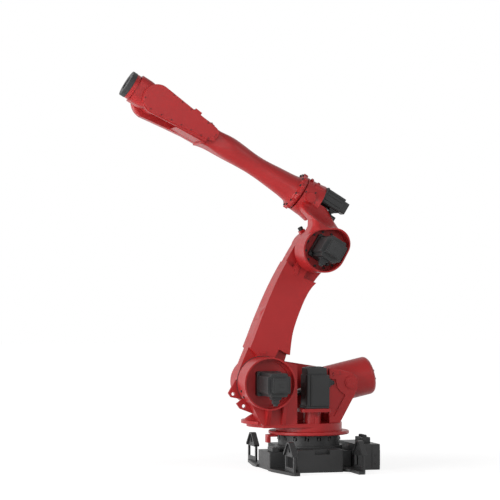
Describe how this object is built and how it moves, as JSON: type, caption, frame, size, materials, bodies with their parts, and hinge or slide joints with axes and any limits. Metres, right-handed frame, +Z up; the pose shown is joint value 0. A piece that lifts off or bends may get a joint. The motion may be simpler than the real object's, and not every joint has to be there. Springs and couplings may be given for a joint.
{
  "type": "industrial robot arm",
  "caption": "Floor-mounted six-axis articulated robot arm with a rear balancer cylinder, bowed lower arm, long forked forearm and a round tool flange.",
  "frame": {"origin": "on the first axis at floor level", "axes": "+X towards the robot's front, +Y to its left, +Z up along the first axis"},
  "size_m": [1.9366, 1.264, 2.9091],
  "materials": {
    "red_paint": "satin red paint on castings",
    "black_paint": "satin black paint on castings",
    "motor_black": "semi-matt black motor paint",
    "bright_rod": "ground steel",
    "dark_flange": "blackened machined steel",
    "rubber": "matt black rubber"
  },
  "bodies": {
    "root": {"base_casting": "black_paint", "base_neck": "black_paint", "foot_front_left": "black_paint", "foot_front_right": "black_paint", "foot_rear_left": "black_paint", "foot_rear_right": "black_paint", "connection_box": "black_paint", "connector_block": "motor_black", "stop_block": "black_paint"},
    "column": {"bearing_disc": "red_paint", "column": "red_paint", "balancer_cheek_left": "red_paint", "balancer_cheek_right": "red_paint", "trunnion_cap_left": "red_paint", "trunnion_cap_right": "red_paint", "swing_stop": "red_paint", "swing_gear_seat": "red_paint", "swing_motor": "motor_black", "shoulder_motor": "motor_black", "lock_lug_column": "red_paint"},
    "balancer": {"balancer_cylinder": "red_paint"},
    "balancer_rod": {"balancer_rod": "bright_rod"},
    "lower_arm": {"lower_arm": "red_paint", "eye_pin": "bright_rod", "shoulder_hub_cover": "red_paint", "elbow_hub_cover": "red_paint", "lock_lug_arm": "red_paint", "elbow_stop_bracket": "red_paint", "elbow_stop_rubber": "rubber"},
    "elbow": {"elbow_casting": "red_paint", "elbow_motor": "motor_black", "roll_motor": "motor_black", "bend_motor": "motor_black", "turn_motor": "motor_black", "elbow_cover": "red_paint"},
    "forearm": {"forearm": "red_paint", "fork_cover_left": "red_paint", "fork_cover_right": "red_paint"},
    "wrist": {"wrist": "red_paint"},
    "tool_flange": {"tool_flange": "dark_flange"}
  },
  "joints": [
    {"name": "axis_1", "type": "hinge", "parent": "root", "child": "column", "pos_m": [0, 0, 0.256], "axis": [0, 0, 1], "range_deg": [-180, 180]},
    {"name": "axis_2", "type": "hinge", "parent": "column", "child": "lower_arm", "pos_m": [0.39, 0, 0.643], "axis": [0, 1, 0], "range_deg": [-25, 85]},
    {"name": "axis_3", "type": "hinge", "parent": "lower_arm", "child": "elbow", "pos_m": [-0.03776, 0, 1.61286], "axis": [0, -1, 0], "range_deg": [-80, 40]},
    {"name": "axis_4", "type": "hinge", "parent": "elbow", "child": "forearm", "pos_m": [0.07699, 0, 2.03828], "axis": [0.8563, 0, 0.5165], "range_deg": [-350, 350]},
    {"name": "axis_5", "type": "hinge", "parent": "forearm", "child": "wrist", "pos_m": [1.17473, 0, 2.70047], "axis": [0, 1, 0], "range_deg": [-120, 120]},
    {"name": "axis_6", "type": "hinge", "parent": "wrist", "child": "tool_flange", "pos_m": [1.38194, 0, 2.82547], "axis": [0.8563, 0, 0.5165], "range_deg": [-350, 350]},
    {"name": "balancer_swing", "type": "hinge", "parent": "column", "child": "balancer", "pos_m": [-0.27, 0, 0.64], "axis": [0, 1, 0], "range_deg": [-40, 15]},
    {"name": "rod_swing", "type": "hinge", "parent": "lower_arm", "child": "balancer_rod", "pos_m": [0.16742, 0, 0.54062], "axis": [0, 1, 0], "range_deg": [-130, 45]}
  ],
  "couplings": [
    {"joint": "balancer_swing", "follows": "axis_2", "ratio": -0.42},
    {"joint": "rod_swing", "follows": "axis_2", "ratio": -1.42}
  ]
}
